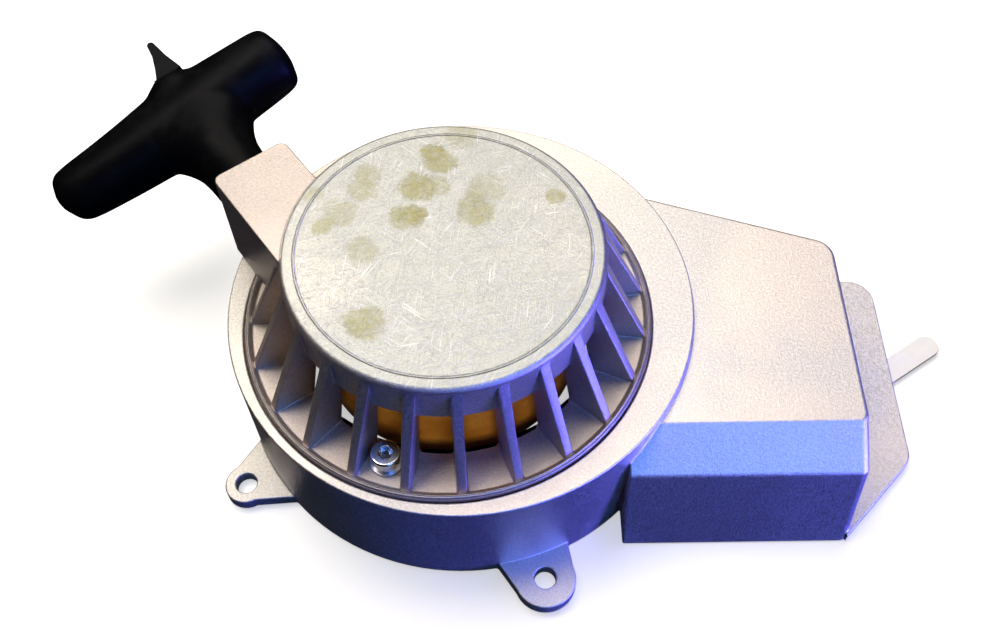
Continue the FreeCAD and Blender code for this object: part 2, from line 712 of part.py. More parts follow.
def make_guide_stack():
    """What holds the guide on the post and gives it drag."""
    ring("brake_washer", "10.5", "centre_shaft + 0.15", "post_bottom - 0.8", "post_bottom")
    ring("guide_sleeve", "guide_sleeve_radius", "centre_shaft + 0.1", "guide_bottom - 0.3",
         "post_bottom - 0.8")
    turned("brake_spring", [("5", "guide_top + 0.3"), ("9.3", "post_bottom - 1.3"),
                            ("9.3", "post_bottom - 0.85"), ("5", "guide_top + 0.75")])
    ring("centre_washer", "8.5", "centre_shaft + 0.1", "guide_bottom - 1.5", "guide_bottom - 0.3")


# ---------------------------------------------------------------------------------------------
# Rope run and handle: made along local X, then turned onto the rope line

ROPE_START = on_rope_line(0, dim("rope_offset"), dim("rope_level"))


def onto_rope_line(item, roll=0.0):
    """Local X becomes the rope line. Roll turns the piece about it."""
    item.Placement = Placement(ROPE_START, ROPE_TURN.multiply(Rotation(Vector(1, 0, 0), roll)))


def turned_along_rope(label, outline, roll=0.0):
    """A piece of revolution about the rope line from (along, radius) corners."""
    body = new_body(label)
    sketch = new_sketch(body, label + "_outline")
    polygon(sketch, outline)
    revolve(body, sketch, axis="H_Axis")
    onto_rope_line(body, roll)
    return body


def make_rope_pieces():
    roll = dim("handle_roll")
    turned_along_rope("rope_bush", [
        ("boss_end - 5", "rope_radius + 0.5"), ("boss_end - 5", "ferrule_radius - 0.03"),
        ("boss_end", "ferrule_radius - 0.03"), ("boss_end", "ferrule_radius + 1.6"),
        ("boss_end + 1.2", "ferrule_radius + 1.6"), ("boss_end + 1.2", "rope_radius + 0.5")])
    turned_along_rope("pull_rope", [("13.4", "0"), ("13.4", "rope_radius"),
                                    ("bar_position + 1.2", "rope_radius"), ("bar_position + 1.2", "0")])
    turned_along_rope("knot_washer", [
        ("bar_position", "rope_radius + 0.3"), ("bar_position", "4.8"),
        ("bar_position + 1", "4.8"), ("bar_position + 1", "rope_radius + 0.3")], roll)
    turned_along_rope("handle_knot", [
        ("bar_position + 1.2", "0"), ("bar_position + 1.2", "2.4"), ("bar_position + 2.2", "3.6"),
        ("bar_position + 4.4", "3.6"), ("bar_position + 5.6", "2.2"), ("bar_position + 5.6", "0")])


def make_handle():
    roll = dim("handle_roll")
    body = new_body("handle_grip")
    # stem, which runs through the bar and ends in a boss behind it
    sketch = new_sketch(body, "stem")
    polygon(sketch, [("stem_start", "0"), ("stem_start", "stem_radius - 1"),
                     ("stem_start + 1", "stem_radius"), ("bar_position - 8", "stem_radius + 1.2"),
                     ("bar_position + 7", "stem_radius + 1.2"), ("bar_position + 12", "stem_radius - 1.4"),
                     ("bar_position + 12.6", "stem_radius - 2.4"), ("bar_position + 12.6", "0")])
    revolve(body, sketch, axis="H_Axis")
    # cross bar: the arm towards the starter's front is the longer and slimmer one
    far, near = "bar_offset - bar_length / 2", "bar_offset + bar_length / 2"
    sketch = new_sketch(body, "cross_bar", shift=(dim("bar_position"), 0))
    sketch.setExpression("AttachmentOffset.Base.x", "dims.bar_position")
    polygon(sketch, [("0", far), ("5.4", far + " + 1"), ("8.3", far + " + 4"),
                     ("9.4", far + " + 9"), ("9.2", far + " + 16"), ("9.8", "-7"), ("9.8", "7"),
                     ("8.6", near + " - 20"), ("8.1", near + " - 9"), ("7.4", near + " - 4"),
                     ("4.8", near + " - 1"), ("0", near)])
    revolve(body, sketch)
    # rope hole and knot pocket
    sketch = new_sketch(body, "rope_way")
    polygon(sketch, [("stem_start - 1", "0"), ("stem_start - 1", "rope_radius + 0.3"),
                     ("bar_position", "rope_radius + 0.3"), ("bar_position", "5"),
                     ("bar_position + 14", "5"), ("bar_position + 14", "0")])
    revolve(body, sketch, "Groove", "H_Axis")
    onto_rope_line(body, roll)

    # plug that closes the pocket, with a pointed tab to pull it out by
    body = new_body("handle_plug")
    sketch = new_sketch(body, "plug")
    polygon(sketch, [("bar_position + 8", "0"), ("bar_position + 8", "4.9"),
                     ("bar_position + 12.7", "4.9"), ("bar_position + 12.7", "6.4"),
                     ("bar_position + 13.6", "6.4"), ("bar_position + 14.4", "5.2"),
                     ("bar_position + 14.4", "0")])
    revolve(body, sketch, axis="H_Axis")
    sketch = new_sketch(body, "plug_tab", level=1.4)
    polygon(sketch, [("bar_position + 13.4", "-5.6"), ("bar_position + 13.4", "2.4"),
                     ("bar_position + 18", "0.4"), ("bar_position + 22.6", "-1.2"),
                     ("bar_position + 27", "-1.9"), ("bar_position + 27.6", "-2.8"),
                     ("bar_position + 26.8", "-3.8"), ("bar_position + 20", "-4.4")])
    pad(body, sketch, "4")
    onto_rope_line(body, roll)


def make_wire_clip():
    """A nylon tongue held in a slot in the edge of the foot flange."""
    clip = doc.addObject("Part::Box", "wire_clip_bar")
    clip.Length = 27
    clip.Width = 6.6
    clip.Height = 1.3
    clip.Placement = Placement(Vector(0, -3.3, 0), Rotation())
    rounded = doc.addObject("Part::Fillet", "wire_clip")
    rounded.Label = "wire_clip"
    rounded.Base = clip
    doc.recompute()
    ends = [i + 1 for i, edge in enumerate(clip.Shape.Edges)
            if abs(edge.BoundBox.ZLength - 1.3) < 0.01 and edge.BoundBox.XMin > 20]
    rounded.Edges = [(index, 3.0, 3.0) for index in ends]
    rounded.Placement = Placement(Vector(*CLIP_ROOT, 0.5), Rotation(Z_AXIS, CLIP_ANGLE))
    PARTS.append(rounded)


# ---------------------------------------------------------------------------------------------
# Build, check and write

make_fan_shroud()
make_recoil_cover()
make_cover_fasteners()
make_centre_screw()
make_spring_set()
make_reel()
make_pawl("pawl_left", 0)
make_pawl("pawl_right", 1)
make_pawl_guide()
make_guide_stack()
make_rope_pieces()
make_handle()
make_wire_clip()
doc.recompute()

for item in doc.Objects:
    if "Invalid" in item.State or "Error" in item.State:
        raise SystemExit("%s failed: %s" % (item.Name, item.State))
os.makedirs("parts", exist_ok=True)
for item in PARTS:
    if item.Shape.isNull() or not item.Shape.isValid():
        raise SystemExit(item.Label + " has no valid shape")
for item in PARTS:
    item.Shape.exportStep("parts/%s.step" % item.Label)
    box = item.Shape.BoundBox
    print("%-15s %d solid(s) %9.1f mm3  x %.1f..%.1f  y %.1f..%.1f  z %.1f..%.1f" % (
        item.Label, len(item.Shape.Solids), item.Shape.Volume,
        box.XMin, box.XMax, box.YMin, box.YMax, box.ZMin, box.ZMax))
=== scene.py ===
# %% [markdown]
# # A recoil starter, finished in Blender
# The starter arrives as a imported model: every piece is already the right size and in the right
# place, and rides on the body that moves it. This lesson dresses that model. Castings get softened
# edges and a grain, the rope gets its braid, the handle gets its smooth moulded shape, and a small
# studio is put round it. Everything is in metres, with Z up from the engine to the cap.

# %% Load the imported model
import json
from math import cos, pi, radians, sin

import bmesh
import bpy
import numpy as np
from mathutils import Matrix, Vector


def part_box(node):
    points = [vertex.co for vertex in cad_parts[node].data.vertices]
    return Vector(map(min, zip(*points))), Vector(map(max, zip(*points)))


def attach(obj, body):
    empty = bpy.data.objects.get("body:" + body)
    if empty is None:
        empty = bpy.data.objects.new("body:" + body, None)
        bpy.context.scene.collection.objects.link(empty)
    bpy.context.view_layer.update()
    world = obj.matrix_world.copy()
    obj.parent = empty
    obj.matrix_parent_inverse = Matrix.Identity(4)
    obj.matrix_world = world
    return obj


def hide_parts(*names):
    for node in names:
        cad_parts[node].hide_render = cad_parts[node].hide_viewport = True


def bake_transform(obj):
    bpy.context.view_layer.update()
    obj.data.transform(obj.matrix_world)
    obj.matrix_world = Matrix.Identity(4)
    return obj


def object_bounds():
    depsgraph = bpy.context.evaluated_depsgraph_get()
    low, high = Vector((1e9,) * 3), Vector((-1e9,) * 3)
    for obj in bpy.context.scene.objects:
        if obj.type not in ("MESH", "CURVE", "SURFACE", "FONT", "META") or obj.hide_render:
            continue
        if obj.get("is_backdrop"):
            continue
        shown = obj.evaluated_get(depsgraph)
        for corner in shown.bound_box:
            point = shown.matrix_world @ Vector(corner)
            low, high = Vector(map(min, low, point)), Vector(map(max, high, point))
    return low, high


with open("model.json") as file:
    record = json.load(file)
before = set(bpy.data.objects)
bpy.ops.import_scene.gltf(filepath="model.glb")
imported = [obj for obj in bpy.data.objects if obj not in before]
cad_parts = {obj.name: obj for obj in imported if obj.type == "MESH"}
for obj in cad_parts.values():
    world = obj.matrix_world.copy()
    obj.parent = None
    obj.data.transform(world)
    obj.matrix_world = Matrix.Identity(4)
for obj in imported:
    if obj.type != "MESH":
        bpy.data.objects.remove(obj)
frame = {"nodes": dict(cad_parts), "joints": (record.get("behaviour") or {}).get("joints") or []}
cad_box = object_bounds()
nodes = frame["nodes"]
MM = 0.001

# %% [markdown]
# ## Measures taken from the model
# New pieces must fit the ones they sit with, so their sizes are read from the model's own boxes.
# The rope leaves the reel along a tangent and runs straight through its bush into the handle. Its
# line is found from the bush, and from the direction in which the handle slides.

# %% The rope's line
def middle(node):
    """The centre of a piece's box."""
    low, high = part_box(node)
    return (low + high) / 2


upward = Vector((0, 0, 1))
rope_axis = Vector(next(j for j in frame["joints"] if j["name"] == "handle_pull")["axis"]).normalized()
across_axis = upward.cross(rope_axis)
bush = middle("rope_bush")
rope_start = across_axis * bush.dot(across_axis) + upward * bush.z
print("rope line: %.1f mm beside the axis, %.1f mm up" % (rope_start.xy.length / MM, bush.z / MM))


def rope_place(roll=0.0):
    """Turns local X into the rope's line, with the reel's tangent point as origin."""
    turn = Matrix((rope_axis, across_axis, upward)).transposed().to_4x4()
    return Matrix.Translation(rope_start) @ turn @ Matrix.Rotation(radians(roll), 4, "X")


# %% [markdown]
# ## Surfaces from arrays
# A new piece is a grid of points: rows go along it, columns go round it. The same few lines turn
# any such grid into a mesh, so each shape below is only a formula for its points.

# %% From a grid of points to a mesh
def grid_mesh(points, ring=True, loop=False, ends=True):
    """Points[rows, columns, 3] become quads. Ring joins the last column to the first, loop joins
    the last row to the first, and ends closes the first and last row with a fan."""
    rows, columns = points.shape[:2]
    row = np.arange(rows if loop else rows - 1)[:, None]
    column = np.arange(columns if ring else columns - 1)[None, :]
    row_on, column_on = (row + 1) % rows, (column + 1) % columns
    quads = np.stack([row * columns + column, row * columns + column_on,
                      row_on * columns + column_on, row_on * columns + column], -1).reshape(-1, 4)
    vertices = points.reshape(-1, 3)
    faces = [tuple(quad) for quad in quads.tolist()]
    if ring and ends and not loop:
        first, last = len(vertices), len(vertices) + 1
        vertices = np.vstack([vertices, points[0].mean(0), points[-1].mean(0)])
        base = (rows - 1) * columns
        faces += [(first, (i + 1) % columns, i) for i in range(columns)]
        faces += [(last, base + i, base + (i + 1) % columns) for i in range(columns)]
    return vertices, faces


def new_piece(name, vertices, faces, place=None):
    """A smooth object at the origin with its place in its mesh and its faces outward."""
    mesh = bpy.data.meshes.new(name)
    vertices = np.asarray(vertices, float)
    if place is not None:
        m = np.array(place)
        vertices = vertices @ m[:3, :3].T + m[:3, 3]
    mesh.from_pydata(vertices.tolist(), [], faces)
    work = bmesh.new()
    work.from_mesh(mesh)
    bmesh.ops.recalc_face_normals(work, faces=work.faces)
    work.to_mesh(mesh)
    work.free()
    mesh.shade_smooth()
    piece = bpy.data.objects.new(name, mesh)
    bpy.context.scene.collection.objects.link(piece)
    print("%-16s %6d faces" % (name, len(mesh.polygons)))
    return piece


def tube(path, radius, sides=14, away=None, loop=False):
    """A round tube along a path. Each ring lies square to the path: its first direction is the
    tangent crossed with a direction that never meets it, and its second is square to both."""
    step = np.roll(path, -1, 0) - np.roll(path, 1, 0) if loop else np.gradient(path, axis=0)
    ahead = step / np.linalg.norm(step, axis=1)[:, None]
    away = np.broadcast_to(np.array([0.0, 0.0, 1.0]) if away is None else away, path.shape)
    side = np.cross(ahead, away)
    side /= np.linalg.norm(side, axis=1)[:, None]
    up = np.cross(side, ahead)
    turn = np.linspace(0, 2 * pi, sides, endpoint=False)
    radius = np.broadcast_to(np.asarray(radius, float).reshape(-1, 1, 1), (len(path), sides, 1))
    spoke = side[:, None] * np.cos(turn)[:, None] + up[:, None] * np.sin(turn)[:, None]
    return path[:, None] + radius * spoke


# %% [markdown]
# ## Softening the machined and cast pieces
# No cast or turned edge is truly sharp, and the thin bright line that light leaves along an edge
# is what makes metal look real. A copy of the piece has its loose triangles joined, its flat
# faces merged and a narrow bevel put on every edge that turns more than a set angle. The copy
# stands for the original, which stays behind it for the simulation.

# %% The softening helper
def soften(node, width, body, name=None, angle=34, segments=2, flat=0.8):
    """A copy of a CAD node with rounded edges, riding on the body, in the node's place."""
    mesh = nodes[node].data.copy()
    work = bmesh.new()
    work.from_mesh(mesh)
    bmesh.ops.remove_doubles(work, verts=work.verts, dist=3e-6)
    bmesh.ops.dissolve_limit(work, angle_limit=radians(flat), verts=work.verts, edges=work.edges,
                             use_dissolve_boundaries=False)
    work.to_mesh(mesh)
    work.free()
    mesh.shade_smooth()
    piece = bpy.data.objects.new(name or node + "_soft", mesh)
    bpy.context.scene.collection.objects.link(piece)
    edge = piece.modifiers.new("edges", "BEVEL")
    edge.limit_method = "ANGLE"
    edge.angle_limit = radians(angle)
    edge.width = width
    edge.segments = segments
    edge.use_clamp_overlap = False
    edge.miter_outer = "MITER_ARC"
    edge.harden_normals = True
    even = piece.modifiers.new("normals", "WEIGHTED_NORMAL")
    even.keep_sharp = True
    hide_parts(node)
    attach(piece, body)
    print("%-16s %6d faces before the bevel" % (piece.name, len(mesh.polygons)))
    return piece


# %% [markdown]
# ## Writing materials as sums
# Shader graphs are easier to read as arithmetic. Wire holds one output of a node and knows how to
# add, take away, multiply and divide, so that 1 - mask builds the node it needs. Finish holds one
# material and makes every other kind of node through a single method.

# %% Wire and Finish
class Wire:
    """One value that runs along a link, with arithmetic."""

    def __init__(self, finish, socket):
        self.finish, self.socket = finish, socket

    def maths(self, operation, *values):
        return self.finish.node("ShaderNodeMath", {"operation": operation}, *values)

    def __add__(self, other): return self.maths("ADD", self, other)
    def __radd__(self, other): return self.maths("ADD", other, self)
    def __sub__(self, other): return self.maths("SUBTRACT", self, other)
    def __rsub__(self, other): return self.maths("SUBTRACT", other, self)
    def __mul__(self, other): return self.maths("MULTIPLY", self, other)
    def __rmul__(self, other): return self.maths("MULTIPLY", other, self)
    def __truediv__(self, other): return self.maths("DIVIDE", self, other)
    def most(self, other): return self.maths("MAXIMUM", self, other)

    def ramp(self, low, high):
        """0 below low, 1 above high, smooth between; high may be the smaller one."""
        settings = {"interpolation_type": "SMOOTHSTEP"}
        if low < high:
            return self.finish.node("ShaderNodeMapRange", settings, self, low, high, 0.0, 1.0)
        return self.finish.node("ShaderNodeMapRange", settings, self, high, low, 1.0, 0.0)


class Finish:
    """One material, built node by node."""

    def __init__(self, name, **surface):
        self.material = bpy.data.materials.new(name)
        self.material.use_nodes = True
        self.tree = self.material.node_tree
        self.shader = self.tree.nodes["Principled BSDF"]
        self.surface(**surface)
        place = self.node("ShaderNodeTexCoord", {}, output="Object")
        self.mm = self.node("ShaderNodeMapping", {}, place, None, None, (1000.0, 1000.0, 1000.0))

    def node(self, kind, settings, *values, output=None, **named):
        """A node of that kind: its settings, then the values or links of its sockets in order."""
        made = self.tree.nodes.new(kind)
        for key, value in settings.items():
            setattr(made, key, value)
        inputs = [s for s in made.inputs if s.enabled]
        by_name = [(made.inputs[key.replace("_", " ")], value) for key, value in named.items()]
        for socket, value in list(zip(inputs, values)) + by_name:
            if isinstance(value, Wire):
                self.tree.links.new(value.socket, socket)
            elif value is not None:
                socket.default_value = value
        live = [s for s in made.outputs if s.enabled]
        return Wire(self, made.outputs[output] if output else live[0])

    def surface(self, **values):
        """Values or links for the main shader, such as Base_Color=(r, g, b, 1)."""
        for key, value in values.items():
            socket = self.shader.inputs[key.replace("_", " ")]
            if isinstance(value, Wire):
                self.tree.links.new(value.socket, socket)
            else:
                socket.default_value = value

    def noise(self, per_mm, detail=3.0, rough=0.55, place=None):
        """Soft random patches, so many to the millimetre."""
        place = place or self.mm
        return self.node("ShaderNodeTexNoise", {}, place, Scale=per_mm, Detail=detail, Roughness=rough)

    def stretched(self, angle, along, across, seed):
        """Where the grain runs: coordinates turned about Z, then squeezed along their length."""
        return self.node("ShaderNodeMapping", {"vector_type": "TEXTURE"}, self.mm, (seed, seed / 2, 0.0),
                         (0.0, 0.0, radians(angle)), (along, across, 1.0))

    def blend(self, amount, first, second):
        """A mix of two colours. A plain (r, g, b) gets the fourth value that the socket wants."""
        first, second = [c + (1.0,) if isinstance(c, tuple) and len(c) == 3 else c
                         for c in (first, second)]
        return self.node("ShaderNodeMix", {"data_type": "RGBA"}, amount, first, second)

    def bump(self, height, depth_mm, strength=1.0):
        """Raises the surface by height times depth."""
        normal = self.node("ShaderNodeBump", {}, Strength=strength, Distance=depth_mm * MM, Height=height)
        self.surface(Normal=normal)

    def onto(self, *pieces):
        for piece in pieces:
            piece.data.materials.clear()
            piece.data.materials.append(self.material)
        return self


# %% [markdown]
# ## The bare casting
# Both castings are pressure cast aluminium that was tumbled, so their skin is a fine light and
# dark speckle about as coarse as sand, over slow warm and cool patches. Metal alone would mirror
# the studio, so the skin is part metal and part matt oxide, and the speckle moves colour,
# roughness and height together.

# %% Cast skin
def cast_skin(name, light, dark, warm, metal=0.88, rough=0.40):
    """A cast finish: speckle between dark and light, and slow patches towards warm."""
    finish = Finish(name, Metallic=metal)
    grain = finish.noise(1.5, 4.0, 0.7)
    fine = finish.noise(4.5, 2.0, 0.6)
    slow = finish.noise(0.022, 3.0, 0.5)
    speckle = (grain * 0.55 + fine * 0.45).ramp(0.34, 0.64)
    tint = slow.ramp(0.40, 0.62)
    colour = finish.blend(speckle, dark, light)
    colour = finish.blend(tint * 0.35, colour, warm)
    finish.surface(Roughness=rough + 0.16 * speckle - 0.08 * tint)
    return finish, colour, speckle


shroud_skin, shroud_colour, shroud_grain = cast_skin(
    "cast_skin_shroud", (0.84, 0.80, 0.73), (0.50, 0.46, 0.40), (0.82, 0.68, 0.60))
shroud_skin.surface(Base_Color=shroud_colour)
shroud_skin.bump(shroud_grain, 0.06, 0.7)
fan_shroud = soften("fan_shroud", 0.45 * MM, "root")
shroud_skin.onto(fan_shroud)

# %% [markdown]
# ## The cover's face
# The cap has been handled and stored. It carries short fine scratches in all directions, and
# olive stains where something dried on it, each with a darker rim. Scratches are noise stretched
# a hundred times along one direction, and cut so that only its crests show. Each stain is a soft
# disc whose edge is pushed in and out by noise.

# %% Scratches and stains
def stain_spots(count, reach):
    """Places drawn at random. Angles gather round the back left, and the square root of an even
    draw spreads the distances evenly over the disc. Returns x, y, radius in mm and strength."""
    draw = np.random.default_rng(7)
    angle = draw.normal(radians(130), radians(75), count)
    away = reach * np.sqrt(draw.uniform(0.1, 1.0, count))
    radius, strength = draw.uniform(2.6, 5.6, count), draw.uniform(0.3, 0.9, count)
    return np.stack([away * np.cos(angle), away * np.sin(angle), radius, strength], 1).tolist()


def stains(finish, spots):
    """Returns how stained a point is, and how near it is to a stain's rim. Near is the distance
    in radii plus noise: below 1.25 a point is stained, above 1.86 it is clean."""
    wobble = finish.noise(0.30, 6.0, 0.75)
    cover, rim = 0.0, 0.0
    for x, y, radius, strength in spots:
        away = finish.node("ShaderNodeVectorMath", {"operation": "DISTANCE"},
                           finish.node("ShaderNodeVectorMath", {"operation": "MULTIPLY"}, finish.mm,
                                       (1.0, 1.0, 0.0)), (x, y, 0.0), output="Value")
        near = away / radius + wobble * 1.5
        inside = near.ramp(1.86, 1.25) * strength
        cover = inside if isinstance(cover, float) else cover.most(inside)
        edge = near.ramp(1.30, 1.60) * inside
        rim = edge if isinstance(rim, float) else rim.most(edge)
    return cover, rim


cover_skin, cover_colour, cover_grain = cast_skin(
    "cast_skin_cover", (0.66, 0.65, 0.585), (0.40, 0.40, 0.355), (0.62, 0.55, 0.51), rough=0.40)
cap_reach = 36.0  # a little inside the cap's edge, in mm
stained, rim = stains(cover_skin, stain_spots(18, cap_reach))
scratch = None
for angle, seed in ((12, 3.0), (57, 11.0), (-38, 23.0), (84, 31.0)):
    lines = cover_skin.noise(1.6, 0.0, 0.5, cover_skin.stretched(angle, 16.0, 0.3, seed))
    line = lines.ramp(0.66, 0.74)
    scratch = line if scratch is None else scratch.most(line)
height = cover_skin.node("ShaderNodeSeparateXYZ", {}, cover_skin.mm, output="Z")
cap_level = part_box("recoil_cover")[1].z / MM
on_cap = height.ramp(cap_level - 0.35, cap_level - 0.1)
scratch = scratch * on_cap
cap_colour = cover_skin.blend(0.30, cover_colour, (0.27, 0.29, 0.26))
boss_colour = cover_skin.node("ShaderNodeVectorMath", {"operation": "MULTIPLY"}, cover_colour,
                              (0.93, 0.82, 0.81))
cover_colour = cover_skin.blend(on_cap, boss_colour, cap_colour)
cover_colour = cover_skin.blend(scratch * 0.45, cover_colour, (0.86, 0.86, 0.82))
patchy = stained * (0.55 + 0.45 * cover_skin.noise(0.5, 4.0, 0.7).ramp(0.35, 0.6))
cover_colour = cover_skin.blend(patchy * 0.9, cover_colour, (0.33, 0.29, 0.06))
cover_colour = cover_skin.blend(rim * 0.5, cover_colour, (0.19, 0.165, 0.02))
cover_skin.surface(Base_Color=cover_colour, Metallic=0.88 - 0.35 * stained)
cover_skin.bump(cover_grain - scratch * 0.8 + stained * 0.5, 0.05, 0.7)
recoil_cover = soften("recoil_cover", 0.4 * MM, "root")
cover_skin.onto(recoil_cover)

# %% [markdown]
# ## Fasteners and plain metal
# Screws are bright plated, washers are zinc, the deep parts are oiled or blued steel, and the
# bushes are sintered bronze. One function covers them: a colour, a roughness, and faint marks
# that run round the piece like a turning tool's.

# %% Plain metals
def metal_finish(name, colour, rough, marks=0.25, per_mm=2.5, dirt=(0.05, 0.045, 0.04), dirt_amount=0.3):
    """Metal with fine marks in its roughness and a little dirt in patches."""
    finish = Finish(name, Metallic=1.0)
    streak = finish.noise(per_mm, 3.0, 0.6, finish.stretched(0, 6.0, 6.0, 5.0))
    patch = finish.noise(0.5, 4.0, 0.65).ramp(0.50, 0.72) * dirt_amount
    finish.surface(Base_Color=finish.blend(patch, colour, dirt),
                   Roughness=(rough + marks * (streak - 0.5) + 0.25 * patch))
    finish.bump(streak, 0.01, 0.5)
    return finish


chrome = metal_finish("bright_plate", (0.80, 0.80, 0.82), 0.14, 0.10, dirt_amount=0.12)
zinc = metal_finish("zinc_plate", (0.62, 0.63, 0.66), 0.30)
oiled = metal_finish("oiled_steel", (0.30, 0.30, 0.32), 0.34)
blued = metal_finish("blued_spring", (0.16, 0.19, 0.28), 0.26)
hardened = metal_finish("hardened_steel", (0.42, 0.42, 0.44), 0.32)
bronze = metal_finish("sintered_bronze", (0.58, 0.38, 0.16), 0.42, 0.3, 4.0)

for node, width, body, finish in (
        ("cover_screws", 0.18, "root", chrome), ("cover_washers", 0.1, "root", zinc),
        ("centre_screw", 0.2, "root", oiled), ("spring_case", 0.12, "root", zinc),
        ("spring_plate", 0.1, "root", zinc), ("spring_anchor", 0.12, "root", oiled),
        ("reel_bush", 0.12, "reel", bronze), ("pawl_pins", 0.15, "reel", oiled),
        ("pawl_left", 0.2, "pawl_left", hardened), ("pawl_right", 0.2, "pawl_right", hardened),
        ("pawl_guide", 0.15, "pawl_guide", zinc), ("brake_washer", 0.1, "root", bronze),
        ("guide_sleeve", 0.1, "root", oiled), ("centre_washer", 0.1, "root", zinc),
        ("rope_bush", 0.2, "root", zinc), ("knot_washer", 0.1, "handle", zinc)):
    finish.onto(soften(node, width * MM, body))
blued.onto(nodes["recoil_spring"])

# %% [markdown]
# ## The reel
# The reel is moulded in amber nylon. Nylon is not quite opaque, so light enters it a little, and
# its skin has a soft sheen with faint flow marks.

# %% Amber nylon
nylon = Finish("amber_nylon", Subsurface_Weight=0.12, Subsurface_Radius=(1.2 * MM, 0.5 * MM, 0.2 * MM))
flow = nylon.noise(0.12, 3.0, 0.6)
dust = nylon.noise(1.2, 4.0, 0.7).ramp(0.52, 0.75)
amber = nylon.blend(flow.ramp(0.35, 0.65), (0.56, 0.21, 0.022), (0.68, 0.30, 0.04))
nylon.surface(Base_Color=nylon.blend(dust * 0.35, amber, (0.25, 0.12, 0.05)),
              Roughness=0.38 + 0.2 * dust)
nylon.bump(flow + dust * 0.3, 0.05, 0.5)
reel = soften("reel", 0.3 * MM, "reel")
nylon.onto(reel)

# %% [markdown]
# ## Braided rope
# A starter rope is a braid: eight strands wind one way, eight the other, and each passes over and
# under in turn. On a tube the two families are two slanted counters, a and b. Where the whole
# parts of a and b add up to an even number the first family is on top, elsewhere the second.
# The relief is the crown of whichever strand is on top.

# %% The braid's relief
ROPE_RADIUS = 1.5 * MM


def braid(path, radius, sides=40, strands=8, lay=5.2 * MM, relief=0.16, **more):
    """A tube whose radius follows the braid. Counter a grows with the angle and the length,
    counter b with the angle less the length."""
    along = np.concatenate([[0], np.cumsum(np.linalg.norm(np.diff(path, axis=0), axis=1))])[:, None]
    turn = np.linspace(0, 1, sides, endpoint=False)[None, :]
    a, b = strands * turn + along / lay * 2, strands * turn - along / lay * 2
    over = (np.floor(a) + np.floor(b)) % 2 < 1
    across = np.where(over, a, b) % 1
    crown = np.sqrt(np.clip(4 * across * (1 - across), 0, 1))
    points = tube(path, 1.0, sides, **more)
    centre = path[:, None]
    size = radius * (1 - relief + relief * crown)
    return centre + (points - centre) * size[..., None]


rope_finish = Finish("braided_cord", Roughness=0.85, Sheen_Weight=0.3)
fibre = rope_finish.noise(3.0, 4.0, 0.7)
grime = rope_finish.noise(0.25, 3.0, 0.6).ramp(0.45, 0.7)
cord_colour = rope_finish.blend(fibre.ramp(0.35, 0.65), (0.52, 0.50, 0.46), (0.80, 0.78, 0.72))
rope_finish.surface(Base_Color=rope_finish.blend(grime * 0.5, cord_colour, (0.30, 0.27, 0.22)))
rope_finish.bump(fibre, 0.08, 0.8)


# %% The rope's run from the reel to its knot
knot_along = (middle("handle_knot") - rope_start).dot(rope_axis)
run_start, row_step = 13.4 * MM, 0.33 * MM  # where the run starts, and the space between rows
x = np.arange(run_start, knot_along - ROPE_RADIUS, row_step)
run = braid(np.stack([x, 0 * x, 0 * x], 1), ROPE_RADIUS)
pull_rope = new_piece("pull_rope_braid", *grid_mesh(run), rope_place())
rope_finish.onto(pull_rope)
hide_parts("pull_rope")
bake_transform(pull_rope)


# %% [markdown]
# ## The rope on the reel
# The wound rope fills the groove in layers two turns wide. One turn lies low, the next lies high,
# and every second turn the rope climbs by its own thickness, so the path is a spiral whose height
# swings between two levels.

# %% Wound turns
def wound(turns, inner, thickness, low, high):
    """Radius grows by one thickness in two turns; height swings smoothly between low and high."""
    turn = np.linspace(0, turns, int(turns * 150))
    radius = inner + thickness * turn / 2
    swing = (turn + 0.5) % 2
    level = np.clip((np.abs(swing - 1) - 0.5) * 6 + 0.5, 0, 1)
    level = level * level * (3 - 2 * level)
    angle = 2 * pi * turn + radians(36)
    return np.stack([radius * np.cos(angle), radius * np.sin(angle), low + (high - low) * level], 1)


low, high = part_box("rope_coil")
bush_to_groove = 5.2 * MM
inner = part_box("reel_bush")[1].x + bush_to_groove + ROPE_RADIUS
turns, pressed = 5, 2.95 * MM  # wound turns lie a little closer than the rope is thick
coil_path = wound(turns, inner, pressed, low.z + ROPE_RADIUS, high.z - ROPE_RADIUS)
print("rope on the reel: %.2f m" % np.linalg.norm(np.diff(coil_path, axis=0), axis=1).sum())
coil = new_piece("rope_coil_turns", *grid_mesh(braid(coil_path, ROPE_RADIUS * 0.97, 20, 5)))
rope_finish.onto(coil)
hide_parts("rope_coil")
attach(coil, "reel")


# %% [markdown]
# ## Knots
# Each end of the rope is held by a knot pulled tight. An overhand knot with its ends drawn
# together is a closed curve that goes three times up and down while it goes twice round, so a
# tube along that curve gives the look of the loops without following loose ends.

# %% Two tight knots
def knot_path(size, steps=180):
    """Distance from the middle is 2 + cos 3t, height is sin 3t, and the angle is 2t."""
    t = np.linspace(0, 2 * pi, steps, endpoint=False)
    out = (2 + np.cos(3 * t)) * size
    return np.stack([out * np.cos(2 * t), out * np.sin(2 * t), np.sin(3 * t) * size * 1.15], 1)


def knot(name, node, size, radius, body, place):
    path = knot_path(size)
    away = path * np.array([1, 1, 0.2])
    points = braid(path, radius, 24, 6, away=away, loop=True)
    piece = new_piece(name, *grid_mesh(points, loop=True), place)
    rope_finish.onto(piece)
    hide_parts(node)
    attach(piece, body)
    return piece


across_rope = Matrix.Translation((knot_along, 0, 0)) @ Matrix.Rotation(radians(90), 4, "Y")
knot("handle_knot_loops", "handle_knot", size=1.02 * MM, radius=1.25 * MM, body="rope_end",
     place=rope_place() @ across_rope)
knot("reel_knot_loops", "reel_knot", size=0.75 * MM, radius=1.05 * MM, body="reel",
     place=Matrix.Translation(middle("reel_knot") - Vector((0, 0, 0.2 * MM))))

